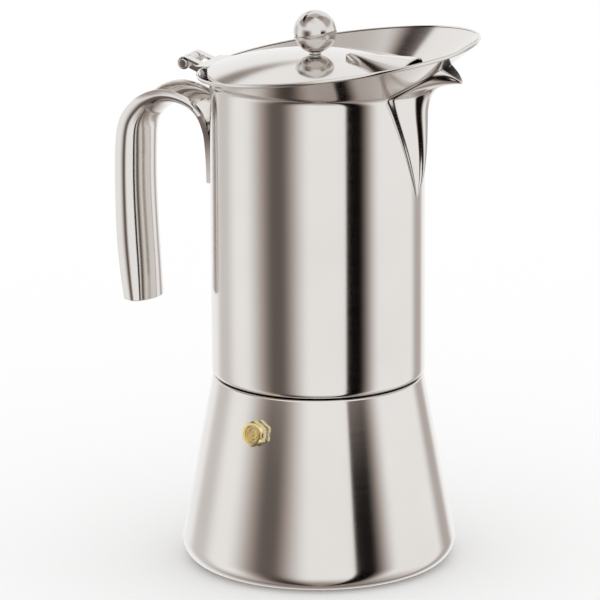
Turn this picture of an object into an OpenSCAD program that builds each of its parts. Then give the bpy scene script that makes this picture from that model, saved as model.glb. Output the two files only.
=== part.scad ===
// Stovetop espresso maker in stainless steel, about six cups.
// Origin at the centre of the base, +Z up, spout towards +X, handle towards -X.

/* [Boiler] */
// Radius of the boiler's cone where its line meets the table
foot_r = 54.3; // [51:0.1:58]
// Rounding of the bottom edge
foot_round = 7.4; // [5:0.1:9]
// Height of the boiler's shoulder
shoulder_z = 73.1; // [68:0.1:82]
// Sheet thickness of the boiler
boiler_wall = 1.2; // [0.9:0.1:1.6]
// Height of the threaded neck above the shoulder
neck_h = 12.9; // [11:0.1:15]

/* [Safety valve] */
// Height of the valve on the cone
valve_z = 59.2; // [50:0.1:62]
// Direction of the valve, seen from above
valve_turn = -98.6; // [-130:0.1:-60]
// Width of the hexagon over its flats
hex_flats = 9; // [8:0.1:10]
// Stroke of the plunger
valve_stroke = 1; // [0.6:0.1:1.2]

/* [Coffee basket] */
// Depth of the coffee basket
basket_depth = 22; // [18:0.5:26]
// Gap between the tube's end and the boiler's bottom
tube_lift = 10.8; // [8:0.1:16]
// Diameter of the holes in the two filter plates
hole_d = 1.5; // [1.2:0.1:1.8]
// Rings of holes in each filter plate
hole_rings = 6; // [4:1:6]

/* [Upper vessel] */
// Radius of the upper vessel
vessel_r = 41; // [40:0.1:43]
// Sheet thickness of the upper vessel, spout and flare
vessel_wall = 0.8; // [0.6:0.1:1]
// Radius of the flared brim in its own plane
brim_r = 54.5; // [52:0.1:57]
// Shift of the brim's centre towards the spout
brim_shift = 8.9; // [8:0.1:10]
// Height of the brim's centre above the shoulder
brim_lift = 125; // [115:0.1:135]
// Tilt of the brim, rising towards the spout
brim_tilt = 8.2; // [7:0.1:9]
// Slope of the flare against the brim's plane
flare_slope = 32; // [30:0.5:35]
// Height of the riser column above the vessel's floor
column_h = 62; // [45:1:70]

/* [Spout] */
// Height of the spout above its pointed lower end
spout_h = 46.3; // [38:0.1:50]
// Distance of the lip from the vessel's wall
lip_reach = 18.3; // [16:0.1:19]
// Half angle of the spout's root round the brim's axis
root_angle = 37; // [30:0.5:40]

/* [Lid] */
// Radius of the lid
lid_r = 41; // [40:0.1:41.2]
// Rise of the domed lid from edge to crown
lid_rise = 6.4; // [5:0.1:8]
// Sheet thickness of the lid
lid_wall = 0.7; // [0.6:0.1:0.9]
// Half angle of the pressed hood
hood_angle = 30; // [24:0.5:34]
// Radius of the ball knob
ball_r = 8.2; // [7:0.1:10]

/* [Handle] */
// Distance from the vessel's wall to the back of the grip
handle_reach = 41.8; // [39:0.1:46]
// Height of the arch above the vessel's lower edge
arch_z = 109; // [100:0.1:112]
// Length of the grip below the arch's centre
grip_drop = 66; // [55:0.1:72]
// Width of the strap at the leg
leg_w = 23; // [20:0.5:26]
// Width of the grip
grip_w = 28.5; // [24:0.5:32]
// Depth of the grip's rolled flanges
grip_depth = 7.2; // [5:0.1:9]
// Sheet thickness of the handle
strap_wall = 1.1; // [0.9:0.1:1.5]

/* [Hidden] */
$fn = 96;

steel = "#c9c5c0";
bright = "#dddbd8";
brass = "#d8bd62";
silicone = "#ece8df";

// Gaps: between seated pieces, between welded sheets and round a turning pin
seat = 0.3;
weld = 0.1;
run = 0.06;
eps = 0.01;

// Boiler cone
shoulder_r = vessel_r - 0.5;
cone_slope = (foot_r - shoulder_r) / shoulder_z;
cone_angle = atan(cone_slope);
function cone_r(z) = foot_r - z * cone_slope;
foot_x = cone_r(foot_round) - foot_round / cos(cone_angle);
edge_round = 0.8;
edge_z = shoulder_z - edge_round;
edge_x = cone_r(edge_z) - edge_round / cos(cone_angle);
neck_r = vessel_r - 4.8;
neck_in = neck_r - boiler_wall;
neck_top = shoulder_z + neck_h;

// Safety valve, measured outwards from the cone's surface
hex_r = hex_flats / 2 / cos(30);
washer_h = 0.8;
hex_z = weld + washer_h + weld;
hex_h = 3.4;
shank_r = 3;
shank_z = -4.6 - valve_stroke;
nut_h = 2.4;
nut_z = -boiler_wall - 0.4 - nut_h;
chamber_r = 1.5;
chamber_z = shank_z + 1;
cap_z = hex_z + hex_h - 1;
stem_r = 0.7;
head_h = 0.8;
head_z = chamber_z + weld;
wire_r = 0.18;
coil_r = 1.12;
coils = 6;

// Coffee basket
flange_z = neck_top + seat;
flange_h = 0.8;
flange_r = neck_r - 0.2;
basket_r = neck_in - 0.7;
basket_wall = 0.6;
basket_z = flange_z + flange_h - basket_depth;
cone_h = 6;
collar_h = 4;
tube_r = 5;
tube_z = boiler_wall + tube_lift;
plate_h = 0.6;

// Gasket and filter plate
gasket_z = flange_z + flange_h + seat;
gasket_h = 2.6;
gasket_out = flange_r - 0.4;
gasket_in = gasket_out - 7.1;
filter_z = gasket_z + gasket_h + seat;
filter_dish = 1.8;
filter_r = gasket_in - 1;

// Upper vessel
wall_in = vessel_r - vessel_wall;
curl = 2.4;
vessel_z = shoulder_z + seat;
curl_x = vessel_r - curl;
ring_in = neck_r + 0.4;
ring_out = curl_x - weld;
floor_z = filter_z + plate_h + seat;
floor_wall = 0.8;
dish_r = gasket_in - 1;
dish_top = 7;
column_r = 6.5;
column_end = 4.8;
column_wall = 0.7;
column_z = floor_z + dish_top - 1;
column_top = floor_z + column_h;
brim_z = shoulder_z + brim_lift;
brim_back = brim_shift - brim_r * cos(brim_tilt);
back_z = brim_z - brim_r * sin(brim_tilt);
bead_r = 0.75;
flare_h = 16;

// A place on the outer face of the flare: radius and angle round the brim's axis
function flare_at(r, a, gap = 0) =
    let (u = r * cos(a))
    let (w = (r - brim_r) * tan(flare_slope) - gap / cos(flare_slope))
    [brim_shift + u * cos(brim_tilt) - w * sin(brim_tilt), r * sin(a),
        brim_z + u * sin(brim_tilt) + w * cos(brim_tilt)];
// Radius at which the flare leaves the cylinder in that direction
function flare_root(a, lo = 20, hi = 56, n = 24) =
    let (mid = (lo + hi) / 2)
    let (p = flare_at(mid, a, weld))
    n == 0 ? mid
    : norm([p[0], p[1]]) > vessel_r + weld ? flare_root(a, lo, mid, n - 1)
    : flare_root(a, mid, hi, n - 1);

// Spout
root_r = flare_root(root_angle);
root_p = flare_at(root_r, root_angle, weld);
root_turn = atan2(root_p[1], root_p[0]);
lip_x = vessel_r + lip_reach;
lip_z = brim_z - 6.1;
tip_z = lip_z - spout_h;
mouth_angle = 10;
mouth_r = brim_r - 7.8;
nose_x = vessel_r + 4.2;
nose_z = lip_z - 16;
spout_bend = 0.55;
spout_root = 0.72;
spout_full = 2.5;
spout_sink = 1.4;
spout_steps = 28;
spout_sides = 10;

// Lid, which lies in the flare: height of the flare's inner face at x, y, where low is a first guess
function flare_inside(x, y, low) =
    let (u = (x - brim_shift) * cos(brim_tilt) + (low - brim_z) * sin(brim_tilt))
    let (w = (norm([u, y]) - brim_r + vessel_wall / sin(flare_slope)) * tan(flare_slope))
    brim_z + (w + (x - brim_shift) * sin(brim_tilt)) / cos(brim_tilt);
function flare_under(a) =
    let (x = lid_x + lid_r * cos(a))
    let (y = lid_r * sin(a))
    flare_inside(x, y, flare_inside(x, y, brim_z - flare_h / 2));
lid_x = -0.8;
lid_lip = 1.4;
lid_gap = 0.51;
lid_edge_z = max([for (a = [90:15:180]) flare_under(a)]) + lid_gap + lid_lip;
lid_crown = lid_edge_z + lid_rise;
lid_sphere = (lid_r * lid_r + lid_rise * lid_rise) / 2 / lid_rise;
hood_start = 11;
hood_top = lid_crown + 1.6;
hood_round = 4;
knob_hole = 1.7;

// Hinge
pin_r = 1;
hinge_r = 2.5;
hinge_x = brim_back - 7.86;
hinge_z = back_z + 1.27;
knuckle_in = 3;
knuckle_out = 7;
// Leaf on the wall and the arm that passes under the brim
leaf_h = 7.5;
leaf_wall = 1.3;
leaf_half = 6;
arm_wall = 1.2;
arm_x = brim_back - 2.36;
arm_z = back_z - 3.33;
bend_z = back_z + (brim_back + vessel_r) * tan(flare_slope - brim_tilt) - 3.45;
tongue_z = lid_edge_z - 0.2;

// Knob
ball_gap = 0.4;
ball_z = lid_crown + ball_gap + ball_r;
collar_r = 2.4;
collar_top = lid_crown + ball_gap + 0.5;

// Handle
leg_x = -vessel_r - weld;
arch_r = 19.7;
arch_x = leg_x - arch_r;
arch_mid = vessel_z + arch_z - arch_r;
leg_z = arch_mid - 15;
grip_bulge = handle_reach - weld - 2 * arch_r;
grip_bend = 3.2;
grip_tail = 34;
strap_sides = 16;

module ring(outer, inner, z, h) {
    translate([0, 0, z])
        difference() {
            cylinder(r = outer, h = h);
            translate([0, 0, -eps]) cylinder(r = inner, h = h + 2 * eps);
        }
}

// Rings of round holes about the axis, six more in each ring
module hole_pattern(rings, pitch, d) {
    circle(d = d, $fn = 24);
    for (k = [1:rings])
        for (i = [0:6 * k - 1])
            rotate(i * 60 / k) translate([k * pitch, 0]) circle(d = d, $fn = 24);
}

// Boiler: cone with a rounded foot, flat shoulder and straight neck
module boiler_solid(inset, top) {
    r = foot_round - inset;
    polygon([[0, inset], [foot_x, inset], [foot_x, foot_round],
        [foot_x + r * cos(cone_angle), foot_round + r * sin(cone_angle)],
        [edge_x + (edge_round - inset) * cos(cone_angle), edge_z + (edge_round - inset) * sin(cone_angle)],
        [edge_x, edge_z], [edge_x, shoulder_z - inset], [neck_r - inset, shoulder_z - inset],
        [neck_r - inset, top], [0, top]]);
    translate([foot_x, foot_round]) circle(r = r);
}

module boiler() {
    color(steel)
        difference() {
            rotate_extrude($fn = 180)
                difference() {
                    intersection() {
                        union() {
                            boiler_solid(0, neck_top);
                            translate([edge_x, edge_z]) circle(r = edge_round);
                        }
                        square([foot_r, neck_top]);
                    }
                    intersection() {
                        boiler_solid(boiler_wall, neck_top + 1);
                        square([foot_r, neck_top + 2]);
                    }
                }
            on_cone() translate([0, 0, -6]) cylinder(r = shank_r + 0.3, h = 12);
        }
}

module on_cone() {
    rotate([0, 0, valve_turn])
        translate([cone_r(valve_z), 0, valve_z])
        rotate([0, 90 - cone_angle, 0])
        children();
}

module valve_body() {
    color(brass)
        on_cone()
        difference() {
            union() {
                translate([0, 0, hex_z]) cylinder(r = hex_r, h = hex_h - 0.5, $fn = 6);
                translate([0, 0, hex_z + hex_h - 0.6]) cylinder(r = hex_flats / 2 - 0.2, h = 0.6);
                translate([0, 0, shank_z]) cylinder(r = shank_r, h = hex_z - shank_z + eps);
            }
            translate([0, 0, chamber_z]) cylinder(r = chamber_r, h = cap_z - chamber_z);
            translate([0, 0, shank_z - 1]) cylinder(r = 1, h = 3);
            translate([0, 0, cap_z - 1]) cylinder(r = stem_r + run, h = 4);
            ring(3.2, 2.3, hex_z + hex_h - 0.5, 1);
        }
}

module valve_washer() {
    color(silicone) on_cone() ring(4.2, shank_r + 0.05, weld, washer_h);
}

module valve_nut() {
    color(brass)
        on_cone()
        translate([0, 0, nut_z])
        difference() {
            cylinder(r = hex_r - 0.4, h = nut_h, $fn = 6);
            translate([0, 0, -1]) cylinder(r = shank_r + 0.08, h = nut_h + 2);
        }
}

module valve_plunger() {
    color(brass)
        on_cone() {
            translate([0, 0, head_z]) cylinder(r = chamber_r - run, h = head_h);
            translate([0, 0, head_z]) cylinder(r = stem_r, h = hex_z + hex_h - 0.3 - head_z);
        }
}

// Coil spring, a round wire swept along a helix
function coil_point(t, s, low, high) =
    let (a = 360 * coils * t)
    let (r = coil_r + wire_r * cos(s))
    [r * cos(a), r * sin(a), low + wire_r + (high - low - 2 * wire_r) * t + wire_r * sin(s)];

module valve_spring() {
    steps = coils * 14;
    sides = 6;
    low = head_z + head_h + 0.05;
    high = cap_z - 0.05;
    points = [for (i = [0:steps]) for (j = [0:sides - 1])
        coil_point(i / steps, 360 * j / sides, low, high)];
    walls = [for (i = [0:steps - 1]) for (j = [0:sides - 1])
        [i * sides + j, i * sides + (j + 1) % sides,
            (i + 1) * sides + (j + 1) % sides, (i + 1) * sides + j]];
    ends = [[for (j = [sides - 1:-1:0]) j], [for (j = [0:sides - 1]) steps * sides + j]];
    color(bright) on_cone() polyhedron(points = points, faces = concat(walls, ends), convexity = 6);
}

module funnel_basket() {
    wall = basket_wall;
    low = basket_z - cone_h;
    color(bright)
        rotate_extrude($fn = 144)
        polygon([[flange_r, flange_z], [flange_r, flange_z + flange_h], [basket_r - wall, flange_z + flange_h],
            [basket_r - wall, basket_z], [tube_r + 0.05, low], [tube_r + 0.05, low - collar_h],
            [tube_r + 0.05 + wall, low - collar_h], [tube_r + 0.05 + wall, low - wall],
            [basket_r, basket_z - wall], [basket_r, flange_z]]);
}

module funnel_tube() {
    color(bright) ring(tube_r, tube_r - basket_wall, tube_z, basket_z - cone_h - 0.4 - tube_z);
}

module basket_plate() {
    color(bright)
        translate([0, 0, basket_z + weld])
        linear_extrude(plate_h)
        difference() {
            circle(r = basket_r - basket_wall - 0.15);
            hole_pattern(hole_rings, (basket_r - 5) / 6.4, hole_d);
        }
}

module gasket() {
    color(silicone) ring(gasket_out, gasket_in, gasket_z, gasket_h);
}

module filter_plate() {
    low = filter_z - filter_dish;
    color(bright)
        difference() {
            rotate_extrude()
                polygon([[0, low], [filter_r, low], [filter_r + plate_h, filter_z],
                    [gasket_out - 0.2, filter_z], [gasket_out - 0.2, filter_z + plate_h],
                    [filter_r, filter_z + plate_h], [filter_r - plate_h, low + plate_h], [0, low + plate_h]]);
            translate([0, 0, low - 1])
                linear_extrude(4)
                hole_pattern(hole_rings, (filter_r - 2) / 6.3, hole_d);
        }
}

module at_brim() {
    translate([brim_shift, 0, brim_z]) rotate([0, -brim_tilt, 0]) children();
}

// Cone of the flare below the brim's plane, moved down its normal by inset
module flare_cone(inset) {
    r = brim_r - inset / sin(flare_slope);
    over = 4;
    translate([0, 0, -flare_h])
        cylinder(r1 = r - flare_h / tan(flare_slope), r2 = r + over / tan(flare_slope),
            h = flare_h + over, $fn = 180);
}

module upper_vessel() {
    top = brim_z + 20;
    color(steel)
        difference() {
            union() {
                translate([0, 0, vessel_z + curl]) cylinder(r = vessel_r, h = top - vessel_z - curl, $fn = 180);
                at_brim() flare_cone(0);
            }
            at_brim() translate([-100, -100, 0]) cube([200, 200, 100]);
            translate([0, 0, vessel_z - 1]) cylinder(r = wall_in, h = top - vessel_z + 2, $fn = 180);
            at_brim() flare_cone(vessel_wall);
            pour_hole();
        }
    color(steel)
        translate([0, 0, vessel_z + curl])
        rotate_extrude($fn = 180)
        translate([curl_x, 0])
        intersection() {
            difference() {
                circle(r = curl);
                circle(r = curl - vessel_wall);
            }
            translate([0, -curl]) square([curl, curl]);
        }
    color(steel)
        at_brim()
        rotate_extrude($fn = 180)
        translate([brim_r - bead_r, 0])
        circle(r = bead_r, $fn = 32);
}

// V-shaped opening through the wall behind the spout
module pour_hole() {
    low = tip_z + 13;
    high = root_p[2] - 4;
    half = 10;
    rotate([90, 0, 90])
        linear_extrude(vessel_r + 5) {
            polygon([[0, low], [half, high - 3], [half - 3, high], [3 - half, high], [-half, high - 3]]);
        }
}

module thread_ring() {
    color(bright) ring(ring_out, ring_in, vessel_z, neck_h + 1.6);
}

module vessel_floor() {
    wall = floor_wall;
    top = floor_z + dish_top;
    color(bright)
        rotate_extrude()
        polygon([[wall_in - weld, floor_z], [wall_in - weld, floor_z + 4], [wall_in - weld - wall, floor_z + 4],
            [wall_in - weld - wall, floor_z + wall], [dish_r, floor_z + wall], [column_r + 0.05 + wall, top],
            [column_r + 0.05 + wall, top + 3], [column_r + 0.05, top + 3], [column_r + 0.05, top - wall],
            [dish_r - 1, floor_z]]);
}

module riser_column() {
    wall = column_wall;
    knee = floor_z + dish_top + 4;
    color(bright)
        rotate_extrude()
        polygon([[column_r - wall, column_z], [column_r, column_z], [column_r, knee], [column_end, column_top],
            [column_end - wall, column_top], [column_r - wall, knee]]);
}

// Cap with two side outlets
module column_cap() {
    sink = 3;
    low = column_top - sink;
    high = column_top + 5;
    color(bright)
        difference() {
            union() {
                translate([0, 0, low]) cylinder(r = column_end + 1.2, h = high - low);
                translate([0, 0, high - 6]) intersection() {
                    sphere(r = 8.4);
                    translate([0, 0, 6]) cylinder(r = column_end + 1.2, h = 6);
                }
            }
            translate([0, 0, low - 1]) cylinder(r = column_end + 0.25, h = high - low + 0.2);
            for (s = [0, 90])
                rotate(s)
                translate([-10, -1.8, column_top + 0.6])
                cube([20, 3.6, 3]);
        }
}

// Ridge of the spout in its plane of symmetry, t from the pointed end to the lip
function ridge(t) =
    t < spout_bend
    ? let (w = t / spout_bend)
        [vessel_r + 0.15 + (nose_x - vessel_r - 0.15) * (1 - pow(1 - w, 2.2)), tip_z + (nose_z - tip_z) * w]
    : let (w = (t - spout_bend) / (1 - spout_bend))
        pow(1 - w, 3) * [nose_x, nose_z] + 3 * w * pow(1 - w, 2) * [nose_x + 0.1, nose_z + 11.5]
        + 3 * w * w * (1 - w) * [nose_x + 4.6, nose_z + 14.5] + pow(w, 3) * [lip_x, lip_z];
function ridge_normal(t) =
    let (d = ridge(min(t + 0.01, 1)) - ridge(max(t - 0.01, 0)))
    [-d[1], d[0]] / norm(d);
// Line where the side sheet meets the wall and then the flare
function root(t, inset) =
    t < spout_root
    ? let (w = t / spout_root)
        let (a = max(root_turn * w - inset * 1.4 / vessel_r * 57.3, 0.05 * w))
        [(vessel_r + weld) * cos(a), (vessel_r + weld) * sin(a), tip_z + (root_p[2] - tip_z) * w]
    : let (w = (t - spout_root) / (1 - spout_root))
        let (r = root_r + (mouth_r - root_r) * w)
        flare_at(r, root_angle + (mouth_angle - root_angle) * w - inset * 1.4 / r * 57.3, weld);
function spout_point(t, s, thick) =
    let (inset = thick * min(1, 0.02 + t * 6))
    let (b = ridge(t) + ridge_normal(t) * inset)
    let (e = root(t, inset))
    let (k = abs(s))
    let (x = max(b[0], vessel_r + weld + 0.02))
    [x + (e[0] - x) * pow(k, spout_full), sign(s) * e[1] * k, b[1] + (e[2] - b[1]) * pow(k, spout_sink)];

function spout_t(i) = 0.03 + 0.97 * i / spout_steps;

module spout() {
    n = spout_steps;
    m = 2 * spout_sides;
    w = 2 * (m + 1);
    points = [for (i = [0:n]) each concat(
        [for (j = [0:m]) spout_point(spout_t(i), j / spout_sides - 1, 0)],
        [for (j = [m:-1:0]) spout_point(spout_t(i), j / spout_sides - 1, vessel_wall)])];
    walls = [for (i = [0:n - 1]) for (j = [0:w - 1])
        each [[i * w + j, (i + 1) * w + j, i * w + (j + 1) % w],
            [(i + 1) * w + j, (i + 1) * w + (j + 1) % w, i * w + (j + 1) % w]]];
    low = [for (j = [0:m - 1]) each [[j, j + 1, w - 1 - j], [j + 1, w - 2 - j, w - 1 - j]]];
    high = [for (j = [0:m - 1]) each [[n * w + j, n * w + w - 1 - j, n * w + j + 1],
        [n * w + j + 1, n * w + w - 1 - j, n * w + w - 2 - j]]];
    color(steel) polyhedron(points = points, faces = concat(walls, low, high), convexity = 6);
}

// Path of the strap: place of its outer face, direction away from the arch's centre
function ease(x) = let (c = min(max(x, 0), 1)) c * c * (3 - 2 * c);
arch_steps = 24;
leg_steps = 4;
grip_steps = 16;
function strap_place(i) =
    i < leg_steps
    ? [leg_x, leg_z + (arch_mid - leg_z) * i / leg_steps, 0]
    : i <= leg_steps + arch_steps
    ? let (a = 180 * (i - leg_steps) / arch_steps)
        let (r = arch_r + grip_bulge * ease((a - 80) / 100))
        [arch_x + r * cos(a), arch_mid + r * sin(a), a]
    : let (d = grip_drop * (i - leg_steps - arch_steps) / grip_steps)
        let (k = max(d - grip_drop + grip_tail, 0) / grip_tail)
        [arch_x - arch_r - grip_bulge + grip_bend * k * k, arch_mid - d, 180 + atan(2 * grip_bend * k / grip_tail)];
strap_last = leg_steps + arch_steps + grip_steps;
// Share of the way from the leg to the grip
function strap_half(a) = leg_w / 2 + (grip_w - leg_w) / 2 * ease((a - 60) / 120);
function strap_depth(a) = grip_depth * ease((a - 45) / 85);
function strap_hug(a) = 1 - ease(a / 50);
function strap_section(q, a) =
    let (c = cos(q))
    let (y = strap_half(a) * sign(c) * pow(abs(c), 0.62))
    let (sag = vessel_r - sqrt(vessel_r * vessel_r - y * y))
    [y, strap_depth(a) * (1 - pow(max(sin(q), 0), 0.62)) - strap_hug(a) * sag];
function strap_inner(q, a) =
    let (d = strap_section(min(q + 2, 180), a) - strap_section(max(q - 2, 0), a))
    strap_section(q, a) + [d[1], -d[0]] / norm(d) * strap_wall;
function strap_point(i, p) =
    let (s = strap_place(i))
    [s[0] - p[1] * cos(s[2]), p[0], s[1] - p[1] * sin(s[2])];

module handle() {
    m = strap_sides;
    w = 2 * (m + 1);
    points = [for (i = [0:strap_last]) let (a = min(strap_place(i)[2], 180)) each concat(
        [for (j = [0:m]) strap_point(i, strap_section(180 * j / m, a))],
        [for (j = [m:-1:0]) strap_point(i, strap_inner(180 * j / m, a))])];
    walls = [for (i = [0:strap_last - 1]) for (j = [0:w - 1])
        each [[i * w + j, i * w + (j + 1) % w, (i + 1) * w + j],
            [(i + 1) * w + j, i * w + (j + 1) % w, (i + 1) * w + (j + 1) % w]]];
    n = strap_last;
    low = [for (j = [0:m - 1]) each [[j, w - 1 - j, j + 1], [j + 1, w - 1 - j, w - 2 - j]]];
    high = [for (j = [0:m - 1]) each [[n * w + j, n * w + j + 1, n * w + w - 1 - j],
        [n * w + j + 1, n * w + w - 2 - j, n * w + w - 1 - j]]];
    color(steel) polyhedron(points = points, faces = concat(walls, low, high), convexity = 8);
}

module along_y(half) {
    rotate([90, 0, 0]) translate([0, 0, -half]) linear_extrude(2 * half) children();
}

module hinge_bracket() {
    color(bright)
        difference() {
            union() {
                along_y(knuckle_in) {
                    translate([hinge_x, hinge_z]) circle(r = hinge_r);
                    polygon([[hinge_x, hinge_z - hinge_r], [arm_x, arm_z], [arm_x + 0.6, arm_z + arm_wall],
                        [hinge_x + 2, hinge_z - arm_wall]]);
                }
                along_y(leaf_half)
                    polygon([[-vessel_r + 1, bend_z - leaf_h], [-vessel_r - leaf_wall, bend_z - leaf_h],
                        [-vessel_r - leaf_wall, bend_z], [arm_x, arm_z], [arm_x + 0.6, arm_z + arm_wall],
                        [-vessel_r + 1, bend_z + arm_wall]]);
            }
            cylinder(r = vessel_r + weld, h = brim_z);
            along_y(20) translate([hinge_x, hinge_z]) circle(r = pin_r + 0.02);
            at_brim() translate([0, 0, -1.9]) cylinder(r = brim_r + 2, h = 10);
        }
}

module hinge_pin() {
    head = 0.6;
    color(bright)
        translate([hinge_x, 0, hinge_z])
        rotate([90, 0, 0]) {
            cylinder(r = pin_r, h = 2 * (knuckle_out + 0.2), center = true);
            for (s = [-1, 1])
                translate([0, 0, s * (knuckle_out + 0.2 + head / 2)]) cylinder(r = 1.8, h = head, center = true);
        }
}

module lid_cut(inset) {
    front = lid_r + lid_x + 2;
    top = hood_top - inset;
    start = hood_start + inset * 2;
    half = (lid_r + lid_x - start) * tan(hood_angle);
    hull() {
        translate([start, 0, top - 0.3])
            rotate([0, 90, 0])
            cylinder(r = 0.3, h = 0.1, $fn = 16);
        translate([front - 0.1, 0, top - hood_round])
            rotate([0, 90, 0])
            cylinder(r = hood_round, h = 0.1, $fn = 32);
        translate([0, 0, lid_edge_z - lid_lip - 1])
            linear_extrude(0.1)
            polygon([[start, -0.2], [start, 0.2], [front, half], [front, -half]]);
    }
}

module lid() {
    edge = lid_edge_z - lid_lip;
    color(steel)
        difference() {
            union() {
                translate([lid_x, 0, 0])
                    intersection() {
                        translate([0, 0, lid_crown - lid_sphere]) difference() {
                            sphere(r = lid_sphere, $fn = 200);
                            sphere(r = lid_sphere - lid_wall, $fn = 200);
                        }
                        translate([0, 0, lid_edge_z - 1.2]) cylinder(r = lid_r, h = 20, $fn = 180);
                    }
                translate([lid_x, 0, 0]) ring(lid_r, lid_r - lid_wall, edge, lid_lip);
                intersection() {
                    lid_cut(0);
                    translate([lid_x, 0, edge]) cylinder(r = lid_r, h = 20, $fn = 180);
                }
                tongue();
            }
            lid_cut(lid_wall);
            translate([lid_x, 0, lid_crown - 4]) cylinder(r = knob_hole, h = 6);
            along_y(20) translate([hinge_x, hinge_z]) circle(r = pin_r + run);
        }
}

// Tongue from the lid's edge to the outer hinge knuckles
module tongue() {
    knee = brim_back - 1;
    start = lid_x - lid_r + 1.2;
    difference() {
        along_y(knuckle_out) {
            polygon([[hinge_x, hinge_z + hinge_r], [knee, tongue_z], [start, tongue_z + 0.9],
                [start, tongue_z], [knee, tongue_z - lid_wall - 0.1], [hinge_x, hinge_z + hinge_r - 1]]);
            translate([hinge_x, hinge_z]) circle(r = hinge_r);
        }
        translate([hinge_x - 5, -knuckle_in - seat, hinge_z - 5])
            cube([10.4, 2 * (knuckle_in + seat), 10]);
    }
}

module knob_collar() {
    color(bright) translate([lid_x, 0, 0]) ring(collar_r, knob_hole, lid_crown + weld, collar_top - lid_crown - weld);
}

module knob_ball() {
    color(bright)
        translate([lid_x, 0, 0])
        difference() {
            translate([0, 0, ball_z]) sphere(r = ball_r, $fn = 120);
            translate([0, 0, ball_z - ball_r - 1]) cylinder(r = ball_r, h = collar_top + 0.05 - ball_z + ball_r + 1);
            translate([0, 0, collar_top - 1]) cylinder(r = 1.55, h = 7);
        }
}

module knob_screw() {
    under = lid_crown - lid_wall - weld - 0.05;
    color(bright)
        translate([lid_x, 0, 0]) {
            translate([0, 0, under - 1.6]) cylinder(r = 3, h = 1.6);
            translate([0, 0, under - eps]) cylinder(r = 1.5, h = collar_top + 5.5 - under);
        }
}

boiler();
valve_body();
valve_washer();
valve_nut();
valve_plunger();
valve_spring();
funnel_basket();
funnel_tube();
basket_plate();
gasket();
filter_plate();
upper_vessel();
thread_ring();
vessel_floor();
riser_column();
column_cap();
spout();
handle();
hinge_bracket();
hinge_pin();
lid();
knob_collar();
knob_ball();
knob_screw();
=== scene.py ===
import math

import bmesh
import bpy
from mathutils import Matrix, Vector


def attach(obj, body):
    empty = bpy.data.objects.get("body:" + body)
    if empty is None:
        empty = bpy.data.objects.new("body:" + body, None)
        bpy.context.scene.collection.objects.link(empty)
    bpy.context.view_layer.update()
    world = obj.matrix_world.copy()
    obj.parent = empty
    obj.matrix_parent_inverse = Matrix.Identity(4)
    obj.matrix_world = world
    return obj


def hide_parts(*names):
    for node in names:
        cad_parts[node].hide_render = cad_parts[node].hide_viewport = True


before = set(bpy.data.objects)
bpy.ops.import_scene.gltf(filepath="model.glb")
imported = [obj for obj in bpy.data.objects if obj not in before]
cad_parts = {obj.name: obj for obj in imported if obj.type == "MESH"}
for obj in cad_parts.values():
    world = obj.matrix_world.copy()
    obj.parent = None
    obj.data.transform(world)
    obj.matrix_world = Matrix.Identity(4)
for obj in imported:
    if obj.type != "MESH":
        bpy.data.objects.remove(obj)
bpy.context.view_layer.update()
print("frame loaded:", len(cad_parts), "nodes")

mm = 0.001  # the sizes below are millimetres, Blender's unit is the metre
scene = bpy.context.scene


def cosd(angle):
    return math.cos(math.radians(angle))


def sind(angle):
    return math.sin(math.radians(angle))


def tand(angle):
    return math.tan(math.radians(angle))


def ease(x):
    x = min(max(x, 0), 1)
    return x * x * (3 - 2 * x)


def lerp(a, b, t):
    return a + (b - a) * t


viewpoint = {"azimuth": 24, "elevation": 15.241, "distance": 2013.1, "aimHeight": 101.7,
             "lens": 314.6, "sensor": 36, "reach": 20, "yaw": 0.204, "roll": -0.274}


def makeCamera(v):
    back = Vector((sind(v["azimuth"]) * cosd(v["elevation"]), -cosd(v["azimuth"]) * cosd(v["elevation"]),
                   sind(v["elevation"])))
    place = Vector((0, 0, v["aimHeight"])) + back * v["distance"]
    turn = Matrix.Rotation(math.radians(v["yaw"]), 3, "Z")
    forward = turn @ -back
    level = turn @ (-back).cross(Vector((0, 0, 1))).normalized()
    upright = level.cross(forward)
    right = level * cosd(v["roll"]) + upright * sind(v["roll"])
    up = upright * cosd(v["roll"]) - level * sind(v["roll"])
    data = bpy.data.cameras.new("camera")
    data.lens = v["lens"]
    data.sensor_width = v["sensor"]
    data.clip_end = v["reach"]
    camera = bpy.data.objects.new("camera", data)
    scene.collection.objects.link(camera)
    facing = Matrix((right, up, -forward)).transposed().to_4x4()
    camera.matrix_world = Matrix.Translation(place * mm) @ facing
    scene.camera = camera


makeCamera(viewpoint)


# Linear colour of an sRGB hex value
def fromHex(code):
    channels = [int(code[i:i + 2], 16) / 255 for i in (1, 3, 5)]
    return tuple(c / 12.92 if c <= 0.04045 else ((c + 0.055) / 1.055) ** 2.4 for c in channels) + (1,)


def addNode(tree, kind, settings=None, inputs=None):
    node = tree.nodes.new(kind)
    for name, value in (settings or {}).items():
        setattr(node, name, value)
    for name, value in (inputs or {}).items():
        if isinstance(value, bpy.types.NodeSocket):
            tree.links.new(value, node.inputs[name])
        else:
            node.inputs[name].default_value = value
    return node


def newMaterial(name):
    material = bpy.data.materials.new(name)
    material.use_nodes = True
    tree = material.node_tree
    tree.nodes.clear()
    return material, tree


# Nearly all values of a noise texture lie between these two
noiseLow = 0.3
noiseHigh = 0.7

# Drawn 18/10 stainless, satin-polished round the axis: bands of reflection stay crisp
# from side to side and run softly up and down, with very fine lines round the body.
# Each line is lineMm high and lineStretch times as long.
satin = {"colour": "#e8e5e2", "shade": "#dedad6", "roughness": 0.11, "least": 0.85, "most": 1.15,
         "lineMm": 0.35, "lineStretch": 60, "depthMm": 0.05, "bump": 0.02, "cloudMm": 40}


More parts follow.
